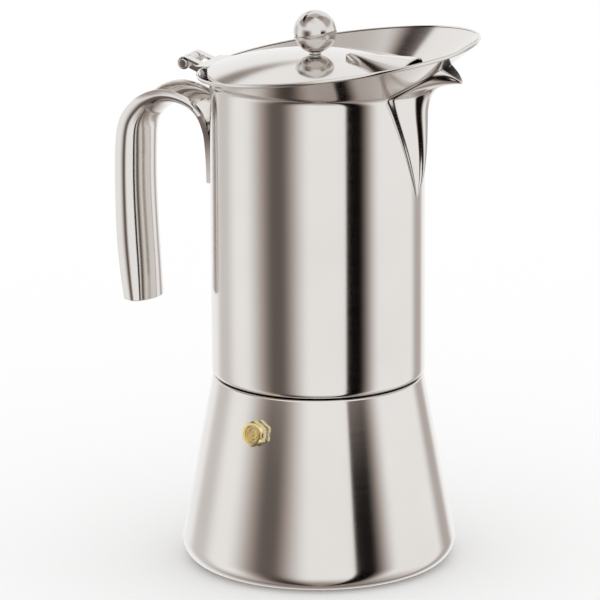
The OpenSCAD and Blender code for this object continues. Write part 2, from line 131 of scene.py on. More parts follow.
def satinStainless(name, look):
    material, tree = newMaterial(name)
    place = addNode(tree, "ShaderNodeTexCoord")
    stretch = look["lineStretch"]
    lines = addNode(tree, "ShaderNodeMapping", inputs={
        "Vector": place.outputs["Object"], "Scale": (1, 1, stretch)})
    grain = addNode(tree, "ShaderNodeTexNoise", inputs={
        "Vector": lines.outputs["Vector"], "Scale": 1 / (look["lineMm"] * mm * stretch), "Detail": 3.0,
        "Roughness": 0.6})
    cloud = addNode(tree, "ShaderNodeTexNoise", inputs={
        "Vector": place.outputs["Object"], "Scale": 1 / (look["cloudMm"] * mm), "Detail": 2.0})
    tone = addNode(tree, "ShaderNodeMix", {"data_type": "RGBA"})
    tree.links.new(cloud.outputs["Fac"], tone.inputs["Factor"])
    tone.inputs["A"].default_value = fromHex(look["colour"])
    tone.inputs["B"].default_value = fromHex(look["shade"])
    rough = addNode(tree, "ShaderNodeMapRange", inputs={
        "Value": grain.outputs["Fac"], "From Min": noiseLow, "From Max": noiseHigh,
        "To Min": look["roughness"] * look["least"], "To Max": look["roughness"] * look["most"]})
    bump = addNode(tree, "ShaderNodeBump", inputs={
        "Height": grain.outputs["Fac"], "Strength": look["bump"], "Distance": look["depthMm"] * mm})
    shader = addNode(tree, "ShaderNodeBsdfPrincipled", inputs={
        "Base Color": tone.outputs["Result"], "Metallic": 1.0, "Roughness": rough.outputs["Result"],
        "Normal": bump.outputs["Normal"]})
    addNode(tree, "ShaderNodeOutputMaterial", inputs={"Surface": shader.outputs["BSDF"]})
    return material


# Stainless buffed to a mirror: knob, hinge and inner pieces. Faint swirls from the buffing wheel.
mirror = {"colour": "#dcd9d6", "roughness": 0.05, "least": 0.8, "most": 1.4, "swirlMm": 3}


def mirrorStainless(name, look):
    material, tree = newMaterial(name)
    place = addNode(tree, "ShaderNodeTexCoord")
    swirl = addNode(tree, "ShaderNodeTexNoise", inputs={
        "Vector": place.outputs["Object"], "Scale": 1 / (look["swirlMm"] * mm), "Detail": 3.0})
    rough = addNode(tree, "ShaderNodeMapRange", inputs={
        "Value": swirl.outputs["Fac"], "From Min": noiseLow, "From Max": noiseHigh,
        "To Min": look["roughness"] * look["least"], "To Max": look["roughness"] * look["most"]})
    shader = addNode(tree, "ShaderNodeBsdfPrincipled", inputs={
        "Base Color": fromHex(look["colour"]), "Metallic": 1.0, "Roughness": rough.outputs["Result"]})
    addNode(tree, "ShaderNodeOutputMaterial", inputs={"Surface": shader.outputs["BSDF"]})
    return material


# Inside of the spout, bead-blasted and pickled after welding: a dull grey that holds no clear image.
blasted = {"colour": "#c9c5c0", "roughness": 0.5, "metallic": 0.35, "grainMm": 0.4, "depthMm": 0.05,
           "bump": 0.3}


def blastedStainless(name, look):
    material, tree = newMaterial(name)
    place = addNode(tree, "ShaderNodeTexCoord")
    grain = addNode(tree, "ShaderNodeTexNoise", inputs={
        "Vector": place.outputs["Object"], "Scale": 1 / (look["grainMm"] * mm), "Detail": 2.0})
    bump = addNode(tree, "ShaderNodeBump", inputs={
        "Height": grain.outputs["Fac"], "Strength": look["bump"], "Distance": look["depthMm"] * mm})
    shader = addNode(tree, "ShaderNodeBsdfPrincipled", inputs={
        "Base Color": fromHex(look["colour"]), "Metallic": look["metallic"], "Roughness": look["roughness"],
        "Normal": bump.outputs["Normal"]})
    addNode(tree, "ShaderNodeOutputMaterial", inputs={"Surface": shader.outputs["BSDF"]})
    return material


# Turned brass: warm yellow metal with fine tool marks that catch the light.
turned = {"colour": "#f8eab4", "shade": "#ead592", "roughness": 0.2, "markMm": 0.25, "depthMm": 0.05,
          "bump": 0.1}


def turnedBrass(name, look):
    material, tree = newMaterial(name)
    place = addNode(tree, "ShaderNodeTexCoord")
    marks = addNode(tree, "ShaderNodeTexNoise", inputs={
        "Vector": place.outputs["Object"], "Scale": 1 / (look["markMm"] * mm), "Detail": 2.0})
    tone = addNode(tree, "ShaderNodeMix", {"data_type": "RGBA"})
    tree.links.new(marks.outputs["Fac"], tone.inputs["Factor"])
    tone.inputs["A"].default_value = fromHex(look["colour"])
    tone.inputs["B"].default_value = fromHex(look["shade"])
    bump = addNode(tree, "ShaderNodeBump", inputs={
        "Height": marks.outputs["Fac"], "Strength": look["bump"], "Distance": look["depthMm"] * mm})
    shader = addNode(tree, "ShaderNodeBsdfPrincipled", inputs={
        "Base Color": tone.outputs["Result"], "Metallic": 1.0, "Roughness": look["roughness"],
        "Normal": bump.outputs["Normal"]})
    addNode(tree, "ShaderNodeOutputMaterial", inputs={"Surface": shader.outputs["BSDF"]})
    return material


# Moulded food-grade silicone: milky, soft sheen, slightly uneven.
moulded = {"colour": "#ebe7dd", "shade": "#ddd7ca", "roughness": 0.55, "ior": 1.41, "mottleMm": 2,
           "milk": 0.1, "milkMm": 1}


def mouldedSilicone(name, look):
    material, tree = newMaterial(name)
    place = addNode(tree, "ShaderNodeTexCoord")
    mottle = addNode(tree, "ShaderNodeTexNoise", inputs={
        "Vector": place.outputs["Object"], "Scale": 1 / (look["mottleMm"] * mm), "Detail": 2.0})
    tone = addNode(tree, "ShaderNodeMix", {"data_type": "RGBA"})
    tree.links.new(mottle.outputs["Fac"], tone.inputs["Factor"])
    tone.inputs["A"].default_value = fromHex(look["colour"])
    tone.inputs["B"].default_value = fromHex(look["shade"])
    shader = addNode(tree, "ShaderNodeBsdfPrincipled", inputs={
        "Base Color": tone.outputs["Result"], "Roughness": look["roughness"],
        "IOR": look["ior"], "Subsurface Weight": look["milk"], "Subsurface Scale": look["milkMm"] * mm})
    addNode(tree, "ShaderNodeOutputMaterial", inputs={"Surface": shader.outputs["BSDF"]})
    return material


steel = satinStainless("satinStainless", satin)
pickled = blastedStainless("blastedStainless", blasted)
bright = mirrorStainless("mirrorStainless", mirror)
brass = turnedBrass("turnedBrass", turned)
silicone = mouldedSilicone("mouldedSilicone", moulded)
print("materials made")


tiny = 1e-7  # metres, points nearer than this are one


# A mesh from points in millimetres, riding on a body; edges sharper than the angle stay crisp
def makePiece(name, points, faces, material, body, replaced=(), sharp=35):
    mesh = bpy.data.meshes.new(name)
    mesh.from_pydata([Vector(p) * mm for p in points], [], faces)
    work = bmesh.new()
    work.from_mesh(mesh)
    bmesh.ops.remove_doubles(work, verts=work.verts, dist=tiny)
    bmesh.ops.dissolve_degenerate(work, edges=work.edges, dist=tiny)
    bmesh.ops.recalc_face_normals(work, faces=work.faces)
    work.to_mesh(mesh)
    work.free()
    mesh.shade_smooth()
    mesh.set_sharp_from_angle(angle=math.radians(sharp))
    piece = bpy.data.objects.new(name, mesh)
    scene.collection.objects.link(piece)
    mesh.materials.append(material)
    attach(piece, body)
    if replaced:
        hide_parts(*replaced)
    return piece


# Faces of a grid of points, row after row
def gridFaces(rows, columns, start=0, closeRows=False, closeColumns=True):
    faces = []
    for i in range(rows if closeRows else rows - 1):
        for j in range(columns if closeColumns else columns - 1):
            k = (i + 1) % rows
            m = (j + 1) % columns
            faces.append((start + i * columns + j, start + i * columns + m,
                          start + k * columns + m, start + k * columns + j))
    return faces


# Outline through corners (x, z, radius), each rounded with an arc
def rounded(corners, steps=6):
    outline = []
    for i, (x, z, r) in enumerate(corners):
        here = Vector((x, z))
        if r == 0 or i in (0, len(corners) - 1):
            outline.append((x, z))
            continue
        before = (Vector(corners[i - 1][:2]) - here).normalized()
        after = (Vector(corners[i + 1][:2]) - here).normalized()
        half = before.angle(after) / 2
        middle = here + (before + after).normalized() * (r / math.sin(half))
        a = here + before * (r / math.tan(half)) - middle
        b = here + after * (r / math.tan(half)) - middle
        sweep = a.angle_signed(b)
        for k in range(steps + 1):
            t = -sweep * k / steps
            outline.append((middle.x + a.x * math.cos(t) - a.y * math.sin(t),
                            middle.y + a.x * math.sin(t) + a.y * math.cos(t)))
    return outline


# Outline (x, z) turned about the z axis, then moved to its place
def revolve(outline, sides, place=None):
    place = place or Matrix.Identity(4)
    points = []
    for x, z in outline:
        for j in range(sides):
            a = 360 * j / sides
            points.append(place @ Vector((x * cosd(a), x * sind(a), z)))
    return points, gridFaces(len(outline), sides)


boiler = {"footRadius": 54.3, "footRound": 7.4, "shoulderRadius": 40.5, "shoulderZ": 73.1, "wall": 1.2,
          "shoulderRound": 0.8, "neckRadius": 36.2, "neckTop": 86.0, "neckRound": 0.5, "edgeRound": 0.3,
          "pitch": 3.5, "threadDepth": 0.6, "threadFoot": 1.2, "threadTop": 0.6, "threadFade": 1.5,
          "threadSharp": 2.6, "threadRows": 30, "footInset": 1.3, "shoulderInset": 0.3, "sides": 240}
coneAngle = math.degrees(math.atan((boiler["footRadius"] - boiler["shoulderRadius"]) / boiler["shoulderZ"]))


def coneRadius(z):
    return boiler["footRadius"] - z * tand(coneAngle)


# Depth of the groove from 0 to 1, one groove to a pitch
def threadWave(z, angle):
    t = (z / boiler["pitch"] - angle / 360) % 1
    return ease(1 - abs(t - 0.5) * boiler["threadSharp"])


def makeBoiler(b):
    wall, neck, top = b["wall"], b["neckRadius"], b["neckTop"]
    shoulder, shoulderZ = b["shoulderRadius"], b["shoulderZ"]
    ceiling = shoulderZ - wall
    outline = rounded([
        (0, 0, 0), (b["footRadius"], 0, b["footRound"]), (shoulder, shoulderZ, b["shoulderRound"]),
        (neck, shoulderZ, b["neckRound"]), (neck, top, 0)], 14)
    low = shoulderZ + b["threadFoot"]
    high = top - b["threadTop"]
    threads = [(neck, lerp(low, high, i / b["threadRows"])) for i in range(b["threadRows"] + 1)]
    inside = rounded([
        (neck, top, 0), (neck - wall, top, b["edgeRound"]), (neck - wall, ceiling, b["neckRound"]),
        (shoulder - wall - b["shoulderInset"], ceiling, b["shoulderRound"]),
        (b["footRadius"] - wall * b["footInset"], wall, b["footRound"] - wall), (0, wall, 0)], 8)
    path = outline[:-1] + threads + inside
    points, faces = revolve(path, b["sides"])
    first = len(outline) - 1
    for i in range(first, first + len(threads)):
        z = path[i][1]
        start = ease((z - threads[0][1]) / b["threadFade"])
        end = ease((threads[-1][1] - z) / b["threadFade"])
        for j in range(b["sides"]):
            k = i * b["sides"] + j
            groove = b["threadDepth"] * (start * end) * threadWave(z, 360 * j / b["sides"])
            points[k] = Vector((points[k].x * (1 - groove / neck), points[k].y * (1 - groove / neck), z))
    return makePiece("boilerShell", points, faces, steel, "boiler_body", ["boiler"])


makeBoiler(boiler)
print("boiler made")

vessel = {"radius": 41.0, "wall": 0.8, "curl": 2.4, "bottom": 73.4, "rows": [2, 30, 60, 80, 95],
          "blend": 2.0, "blendShare": 0.55, "blendRows": 10, "flareRows": 6, "sides": 360}
brim = {"radius": 54.5, "shift": 8.9, "z": 198.1, "tilt": 8.2, "slope": 32, "bead": 0.75, "seam": 0.4,
        "search": (20.0, 56.0)}


# Point of the flare, a tilted cone of sheet: r and angle are measured in the brim's own plane
def flareAt(r, angle, gap=0.0):
    u = r * cosd(angle)
    w = (r - brim["radius"]) * tand(brim["slope"]) - gap / cosd(brim["slope"])
    return Vector((brim["shift"] + u * cosd(brim["tilt"]) - w * sind(brim["tilt"]), r * sind(angle),
                   brim["z"] + u * sind(brim["tilt"]) + w * cosd(brim["tilt"])))


# Where the flare meets the upright cylinder, found by halving
def flareRoot(angle, cylinder, gap=0.0):
    low, high = brim["search"]
    for _ in range(30):
        middle = (low + high) / 2
        if flareAt(middle, angle, gap).xy.length > cylinder:
            high = middle
        else:
            low = middle
    return middle


def vesselSide(angle, cylinder, gap, blend, rows):
    root = flareRoot(angle, cylinder, gap)
    knee = flareAt(root, angle, gap)
    tip = flareAt(brim["radius"] - brim["seam"], angle, gap)
    reach = min(blend, (tip - knee).length * vessel["blendShare"])
    start = knee - Vector((0, 0, reach))
    end = knee + (tip - knee).normalized() * reach
    side = [Vector((knee.x, knee.y, z)) for z in rows if z < start.z - 1]
    for k in range(vessel["blendRows"] + 1):
        t = k / vessel["blendRows"]
        side.append(start * (1 - t) ** 2 + knee * 2 * t * (1 - t) + end * t * t)
    for k in range(1, vessel["flareRows"] + 1):
        side.append(end.lerp(tip, k / vessel["flareRows"]))
    return side


# The shorter list gets copies of its first point
def sameLength(a, b):
    while len(a) < len(b):
        a = a[:1] + a
    while len(b) < len(a):
        b = b[:1] + b
    return a, b


# Quarter ring of the vessel's rolled lower edge
def curledEdge(v, out, r, angles):
    base = v["bottom"] + v["curl"]
    return [out * (v["radius"] - v["curl"] + r * sind(a)) + Vector((0, 0, base - r * cosd(a)))
            for a in angles]


def makeVessel(v):
    wall, curl = v["wall"], v["curl"]
    base = v["bottom"] + curl
    heights = [base + row for row in v["rows"]]
    sections = []
    for j in range(v["sides"]):
        angle = 360 * j / v["sides"]
        outer = vesselSide(angle, v["radius"], 0, v["blend"], heights)
        inner = vesselSide(angle, v["radius"] - wall, -wall, v["blend"], heights)
        outer, inner = sameLength(outer, inner)
        turn = math.atan2(outer[0].y, outer[0].x)
        out = Vector((math.cos(turn), math.sin(turn), 0))
        foot = curledEdge(v, out, curl, range(0, 91, 9))
        hem = curledEdge(v, out, curl - wall, range(90, -1, -9))
        along = (outer[-1] - outer[-2]).normalized()
        across = (inner[-1] - outer[-1]).normalized()
        middle = flareAt(brim["radius"] - brim["bead"], angle, -wall / 2)
        bead = [middle + along * (brim["bead"] * cosd(a)) + across * (brim["bead"] * sind(a))
                for a in range(-120, 121, 20)]
        sections.append(foot + outer + bead + inner[::-1] + hem)
    points = [p for section in sections for p in section]
    faces = gridFaces(len(sections), len(sections[0]), closeRows=True)
    return makePiece("upperVesselShell", points, faces, steel, "upper", ["upper_vessel"])


makeVessel(vessel)
print("upper vessel made")

spout = {"height": 46.3, "reach": 18.3, "lipDrop": 6.1, "rootAngle": 37, "root": 0.72, "mouthAngle": 7.2,
         "mouthRadius": 44.1, "noseOut": 4.05, "noseDrop": 16, "bend": 0.55, "fullness": 3.2,
         "ridgeLift": 0.15, "throat": (-0.5, 12.6), "lipPull": (4.4, 14.9), "wall": 0.8, "weld": 0.1,
         "clear": 0.02, "insetTurn": 1.4, "leastTurn": 0.05, "sink": 1.4, "fine": 0.012,
         "nose": (0.33, 0.08, 0.26), "side": (0.42, 0.2, 0.72), "step": (0.25, 0.86, 0.14),
         "bell": 0.7, "bellLength": 0.3, "bellPower": 1.8, "thin": 0.02, "thinRate": 6,
         "lipRound": 0.4, "lipLean": 0.3, "facing": 0.2, "steps": 90, "halfSteps": 32}
lipX = vessel["radius"] + spout["reach"]
lipZ = brim["z"] - spout["lipDrop"]
tipZ = lipZ - spout["height"]
noseX = vessel["radius"] + spout["noseOut"]
noseZ = lipZ - spout["noseDrop"]
rootRadius = flareRoot(spout["rootAngle"], vessel["radius"] + spout["weld"], spout["weld"])
rootPlace = flareAt(rootRadius, spout["rootAngle"], spout["weld"])
rootTurn = math.degrees(math.atan2(rootPlace.y, rootPlace.x))


# Ridge of the spout in its plane of symmetry, from the pointed end to the lip
def ridge(t):
    if t < spout["bend"]:
        w = t / spout["bend"]
        start = vessel["radius"] + spout["ridgeLift"]
        out = 1 - (1 - w) ** spout["fullness"]
        return Vector((start + (noseX - start) * out, tipZ + (noseZ - tipZ) * w))
    w = (t - spout["bend"]) / (1 - spout["bend"])
    nose, lip = Vector((noseX, noseZ)), Vector((lipX, lipZ))
    throat = Vector((noseX + spout["throat"][0], noseZ + spout["throat"][1]))
    pull = Vector((noseX + spout["lipPull"][0], noseZ + spout["lipPull"][1]))
    return nose * (1 - w) ** 3 + throat * 3 * w * (1 - w) ** 2 + pull * 3 * w * w * (1 - w) + lip * w ** 3


def ridgeNormal(t):
    d = ridge(min(t + 0.01, 1)) - ridge(max(t - 0.01, 0))
    return Vector((-d.y, d.x)).normalized()


# Line where the side sheet meets the wall and then the flare
def spoutRoot(t, inset):
    if t < spout["root"]:
        w = t / spout["root"]
        r = vessel["radius"] + spout["weld"]
        inward = math.degrees(inset * spout["insetTurn"] / vessel["radius"])
        a = max(rootTurn * w - inward, spout["leastTurn"] * w)
        return Vector((r * cosd(a), r * sind(a), tipZ + (rootPlace.z - tipZ) * w))
    w = (t - spout["root"]) / (1 - spout["root"])
    r = rootRadius + (spout["mouthRadius"] - rootRadius) * w
    inward = math.degrees(inset * spout["insetTurn"] / r)
    a = spout["rootAngle"] + (spout["mouthAngle"] - spout["rootAngle"]) * w - inward
    return flareAt(r, a, spout["weld"])


# Share of the way from the ridge to the root: a round nose with steep shoulders, hollow sides,
# and a small step where the sheet leaves the wall. Each has a share, a start and a length.
def spoutSection(k):
    nose, side, step = spout["nose"], spout["side"], spout["step"]
    bow = nose[0] * ease((k - nose[1]) / nose[2])
    flat = side[0] * min(max((k - side[1]) / side[2], 0), 1)
    return bow + flat + step[0] * ease((k - step[1]) / step[2])


def spoutPoint(t, s, thick):
    inset = thick * min(1, spout["thin"] + t * spout["thinRate"])
    b = ridge(t) + ridgeNormal(t) * inset
    e = spoutRoot(t, inset)
    k = abs(s)
    x = max(b.x, vessel["radius"] + spout["weld"] + spout["clear"])
    opening = ease((t - spout["bell"]) / spout["bellLength"])
    bell = lerp(spoutSection(k), k ** spout["bellPower"], opening)
    z = b.y + (e.z - b.y) * k ** spout["sink"]
    return Vector((x + (e.x - x) * bell, math.copysign(1, s) * e.y * k, z))


def makeSpout(s):
    half = s["halfSteps"]
    across = [j / half - 1 for j in range(2 * half + 1)]
    rows = []
    for i in range(s["steps"] + 1):
        t = s["fine"] + (1 - s["fine"]) * i / s["steps"]
        outside = [spoutPoint(t, k, 0) for k in across]
        inside = [spoutPoint(t, k, s["wall"]) for k in reversed(across)]
        rows.append(outside + inside)
    width = len(rows[0])
    last, before = rows[-1], rows[-3]
    lip = []
    for j in range(width):
        forward = (last[j] - before[j]).normalized() * s["wall"] * s["lipRound"]
        lip.append(last[j].lerp(last[width - 1 - j], s["lipLean"]) + forward)
    rows.append(lip)
    points = [p for row in rows for p in row]
    faces = gridFaces(len(rows), width)
    for first in (0, (len(rows) - 1) * width):
        for j in range(2 * half):
            faces.append((first + j, first + j + 1, first + width - 2 - j, first + width - 1 - j))
    piece = makePiece("spoutSheet", points, faces, steel, "upper", ["spout"], sharp=50)
    piece.data.materials.append(pickled)
    # Faces that look towards the pot's axis are the spout's inside
    for face in piece.data.polygons:
        toAxis = Vector((-face.center.x, -face.center.y))
        if face.normal.xy.dot(toAxis.normalized()) > s["facing"]:
            face.material_index = 1


makeSpout(spout)
print("spout made")

# A channel of sheet, open to the outside of the arch. Its rims run through x, z as below, from the
# weld to the free end, and the belly that the fingers touch lies depth, the third value, inside them.
handle = {"half": 10.1, "rim": 8.9, "wall": 1.1, "round": 0.78, "flank": 0.36, "square": 1.18, "curl": 1.4,
          "welded": 0.16, "straight": 0.8, "straightLength": 0.2, "probe": 0.004, "rows": 150, "sides": 40,
          "path": [
              (-41.1, 146.5, 1.1), (-41.1, 158, 1.15), (-41.3, 166.3, 1.5), (-43.4, 172.7, 2.5),
              (-47.6, 177.5, 3.6), (-53.2, 180.3, 4.8), (-58.5, 181.4, 6.0), (-63.5, 181.2, 7.2),
              (-68.5, 179.5, 8.3), (-73.2, 176.6, 9.3), (-78.0, 171.2, 10.4), (-80.6, 164.8, 11.1),
              (-81.7, 155, 11.6), (-81.9, 140, 11.7), (-81.5, 122, 12.0), (-80.3, 108, 11.6),
              (-78.6, 96.3, 10.4)]}
sheetEdge = 0.35  # how far a sheet's rounded edge stands out, as a share of its thickness


# Smooth curve through the points of a path, t from 0 to 1
def spline(path, t):
    place = t * (len(path) - 1)
    i = min(int(place), len(path) - 2)
    w = place - i
    a, b, c, d = [Vector(path[min(max(k, 0), len(path) - 1)]) for k in (i - 1, i, i + 1, i + 2)]
    return (b * 2 + (c - a) * w + (a * 2 - b * 5 + c * 4 - d) * w ** 2 + (b * 3 - a - c * 3 + d) * w ** 3) / 2


def handlePoint(t, k):
    h = handle
    x, z, depth = spline(h["path"], t)
    ahead = spline(h["path"], min(t + h["probe"], 1))
    behind = spline(h["path"], max(t - h["probe"], 0))
    along = Vector((ahead.x - behind.x, ahead.y - behind.y)).normalized()
    inward = Vector((-along.y, along.x))
    level = ease((t - h["straight"]) / h["straightLength"])
    inward = inward.lerp(Vector((1, 0)), level).normalized()
    q = min(abs(k) / h["round"], 1) * 90
    w = max(abs(k) - h["round"], 0) / (1 - h["round"])
    belly = 1 - (1 - h["flank"]) * (1 - cosd(q) ** h["square"]) - h["flank"] * w
    y = math.copysign(h["half"] * sind(q) ** h["square"] - (h["half"] - h["rim"]) * w ** h["curl"], k)
    sag = vessel["radius"] - math.sqrt(vessel["radius"] ** 2 - y * y)
    p = h["wall"] + (depth - h["wall"]) * belly - (1 - ease(t / h["welded"])) * sag
    return Vector((x + inward.x * p, y, z + inward.y * p))


# A sheet made of a grid of points on its outer face, with its edges rounded over
def sheet(grid, wall):
    rows, columns = len(grid), len(grid[0])
    inner = []
    for i in range(rows):
        row = []
        for j in range(columns):
            along = grid[min(i + 1, rows - 1)][j] - grid[max(i - 1, 0)][j]
            across = grid[i][min(j + 1, columns - 1)] - grid[i][max(j - 1, 0)]
            row.append(grid[i][j] + along.cross(across).normalized() * wall)
        inner.append(row)
    points = [p for row in grid for p in row] + [p for row in inner for p in row]
    size = rows * columns
    faces = gridFaces(rows, columns, closeColumns=False) + gridFaces(rows, columns, size, closeColumns=False)
    loop = [(0, j) for j in range(columns)] + [(i, columns - 1) for i in range(1, rows)]
    loop += [(rows - 1, j) for j in range(columns - 2, -1, -1)] + [(i, 0) for i in range(rows - 2, 0, -1)]
    start = len(points)
    for i, j in loop:
        inside = grid[min(max(i, 1), rows - 2)][min(max(j, 1), columns - 2)]
        outward = (grid[i][j] - inside).normalized()
        points.append((grid[i][j] + inner[i][j]) / 2 + outward * wall * sheetEdge)
    for n, (i, j) in enumerate(loop):
        m = (n + 1) % len(loop)
        a, b = i * columns + j, loop[m][0] * columns + loop[m][1]
        faces.append((a, b, start + m, start + n))
        faces.append((start + n, start + m, size + b, size + a))
    return points, faces


def makeHandle(h):
    half = h["sides"] // 2
    across = [j / half for j in range(-half, half + 1)]
    grid = [[handlePoint(i / h["rows"], k) for k in across] for i in range(h["rows"] + 1)]
    points, faces = sheet(grid, h["wall"])
    return makePiece("handleStrap", points, faces, steel, "upper", ["handle"], sharp=50)


makeHandle(handle)
print("handle made")

lid = {"radius": 41.0, "x": -0.8, "edgeZ": 192.0, "rise": 6.4, "lip": 1.4, "wall": 0.7,
       "hoodStart": 11.8, "hoodTop": 200.0, "hoodAngle": 32, "hoodRun": 4, "hoodStep": 0.35,
       "hoodSoft": 0.5, "hoodFlat": 2.6, "hoodLip": 0.8, "raised": 0.3, "rim": 1.5, "rays": 150,
       "hoodRays": 48, "rings": 46, "crowd": 1.15}
lidSphere = (lid["radius"] ** 2 + lid["rise"] ** 2) / 2 / lid["rise"]
lidCrown = lid["edgeZ"] + lid["rise"]


def domeZ(x, y):
    return lidCrown - lidSphere + math.sqrt(lidSphere ** 2 - (x - lid["x"]) ** 2 - y * y)


def lidZ(x, y):
    base = domeZ(x, y)
    run = x - lid["hoodStart"]
    if run <= 0:
        return base
    k = abs(y) / (run * tand(lid["hoodAngle"]))
    if k >= 1:
        return base
    front = ease(run / lid["hoodRun"] + lid["hoodStep"]) ** lid["hoodSoft"]
    lift = max(lid["hoodTop"] - domeZ(x, 0), 0) * front
    return base + lift * (1 - k ** lid["hoodFlat"])


# Rays of points from the hood's start to the lid's edge, close together on the hood
def lidSurface(l, drop):
    side = [lerp(l["hoodAngle"], 360 - l["hoodAngle"], i / l["rays"]) for i in range(l["rays"] + 1)]
    hood = [lerp(-l["hoodAngle"], l["hoodAngle"], i / l["hoodRays"]) for i in range(1, l["hoodRays"])]
    shift = l["hoodStart"] - l["x"]
    rows = []
    for angle in side + hood:
        c, s = cosd(angle), sind(angle)
        reach = -shift * c + math.sqrt(l["radius"] ** 2 - (shift * s) ** 2)
        row = []
        for i in range(1, l["rings"] + 1):
            r = reach * (i / l["rings"]) ** l["crowd"]
            x, y = l["hoodStart"] + r * c, r * s
            row.append(Vector((x, y, lidZ(x, y) - drop)))
        rows.append(row)
    return rows


def makeLid(l):
    top, under = lidSurface(l, 0), lidSurface(l, l["wall"])
    points = []
    for upper, lower in zip(top, under):
        edge = upper[-1]
        inward = (Vector((l["x"], 0, 0)) - Vector((edge.x, edge.y, 0))).normalized() * l["wall"]
        raised = edge.z - domeZ(edge.x, edge.y)
        foot = edge.z - (l["lip"] if raised < l["raised"] else l["wall"] * l["hoodLip"])
        points += upper + [Vector((edge.x, edge.y, foot)), Vector((edge.x, edge.y, foot)) + inward]
        for p in reversed(lower):
            clear = Vector((p.x - l["x"], p.y)).length < l["radius"] - l["wall"] * l["rim"]
            points.append(p if clear else Vector((edge.x, edge.y, p.z)) + inward)
    width = 2 * l["rings"] + 2
    count = len(top)
    faces = gridFaces(count, width, closeRows=True, closeColumns=False)
    start = l["hoodStart"]
    points += [Vector((start, 0, lidZ(start, 0))), Vector((start, 0, lidZ(start, 0) - l["wall"]))]
    for i in range(count):
        k = (i + 1) % count
        faces.append((len(points) - 2, i * width, k * width))
        faces.append((len(points) - 1, k * width + width - 1, i * width + width - 1))
    return makePiece("lidShell", points, faces, steel, "lid_body", ["lid"], sharp=24)


makeLid(lid)
print("lid made")

hinge = {"x": -52.9, "z": 191.6, "barrel": 2.5, "pin": 1.0, "play": 0.06, "inner": 3.0, "outer": 7.0,
         "gap": 0.3, "sheet": 0.9, "kneeX": -46.0, "kneeZ": 191.8, "lidX": -40.4, "plate": 11.0,
         "round": 0.25, "headGap": 0.2, "headRadius": 1.8, "head": 0.6, "headRound": 0.4,
         "headUnder": 0.1, "sides": 48}


# Turns an outline about the hinge's own axis, which runs along y
def onHinge(h):
    return Matrix.Translation((h["x"], 0, h["z"])) @ Matrix.Rotation(math.radians(90), 4, "X")


def knuckle(h, y0, y1):
    hole, radius, soft = h["pin"] + h["play"], h["barrel"], h["round"]
    outline = rounded([(hole, -y1, 0), (radius, -y1, soft), (radius, -y0, soft), (hole, -y0, 0)], 4)
    outline.append((hole, -y1))
    return revolve(outline, h["sides"], onHinge(h))


# Bent sheet whose upper face follows a path (x, z), from y0 to y1
def sheetStrip(path, thick, y0, y1):
    rows = []
    for i, (x, z) in enumerate(path):
        a = Vector(path[max(i - 1, 0)])
        b = Vector(path[min(i + 1, len(path) - 1)])
        n = Vector((-(b - a).y, (b - a).x)).normalized()
        n = n if n.y > 0 else -n
        low = Vector((x, z)) - n * thick
        rows.append([Vector((x, y0, z)), Vector((x, y1, z)),
                     Vector((low.x, y1, low.y)), Vector((low.x, y0, low.y))])
    points = [p for row in rows for p in row]
    faces = gridFaces(len(rows), 4)
    last = (len(rows) - 1) * 4
    faces += [(0, 1, 2, 3), (last, last + 1, last + 2, last + 3)]
    return points, faces


def join(*parts):
    points, faces = [], []
    for more, made in parts:
        start = len(points)
        points += more
        faces += [tuple(start + k for k in face) for face in made]
    return points, faces


# The lid's tongue: two legs from the knuckles to the knee, and a plate from the knee to the lid
def makeTongue(h):
    top = h["z"] + h["barrel"]
    curve = [(h["x"] + 0.3, top - 0.02), (h["x"] + 1.2, top - 0.25), (h["kneeX"] - 1, h["kneeZ"] + 0.35),
             (h["kneeX"], h["kneeZ"]), (h["kneeX"] + 1.2, h["kneeZ"] - 0.05)]
    end = [(h["lidX"], h["kneeZ"] + 0.4)]
    inner = h["inner"] + h["gap"]
    parts = []
    for side in (-1, 1):
        y0, y1 = sorted((side * inner, side * h["outer"]))
        parts.append(knuckle(h, y0, y1))
        parts.append(sheetStrip(curve[:4], h["sheet"], y0, y1))
    parts.append(sheetStrip(curve[3:] + end, h["sheet"], -h["plate"], h["plate"]))
    points, faces = join(*parts)
    return makePiece("lidTongue", points, faces, steel, "lid_body")


def makeHingePin(h):
    length, pin, head = h["outer"] + h["headGap"], h["pin"], h["head"]
    wide, soft, under = h["headRadius"], h["headRound"], h["headUnder"]
    outline = rounded([
        (0, -length - head, 0), (wide, -length - head, soft), (wide, -length, under), (pin, -length, 0),
        (pin, length, 0), (wide, length, under), (wide, length + head, soft), (0, length + head, 0)], 5)
    points, faces = revolve(outline, h["sides"], onHinge(h))
    return makePiece("hingePinHeads", points, faces, bright, "upper", ["hinge_pin"])


makeTongue(hinge)
makeHingePin(hinge)
print("hinge made")

knob = {"radius": 8.2, "z": 207.0, "flat": -66, "collar": 2.4, "collarTop": 199.3, "hole": 1.7, "seat": 0.05,
        "gap": 0.1, "sides": 120, "collarSides": 72}


def makeKnob(k):
    place = Matrix.Translation((lid["x"], 0, 0))
    low, foot, top = k["collarTop"] + k["seat"], lidCrown + k["gap"], k["collarTop"]
    arc = [(k["radius"] * cosd(a), k["z"] + k["radius"] * sind(a)) for a in range(k["flat"], 90, 3)]
    outline = [(0, low), (k["collar"] - 0.2, low)] + arc + [(0, k["z"] + k["radius"])]
    points, faces = revolve(outline, k["sides"], place)
    makePiece("knobBall", points, faces, bright, "lid_body", ["knob_ball"])
    ring = rounded([(k["hole"], foot, 0), (k["collar"], foot, 0.2),
                    (k["collar"], top, 0.3), (k["hole"], top, 0)], 5)
    ring.append((k["hole"], foot))
    points, faces = revolve(ring, k["collarSides"], place)
    makePiece("knobCollar", points, faces, bright, "lid_body", ["knob_collar"])


makeKnob(knob)
print("knob made")

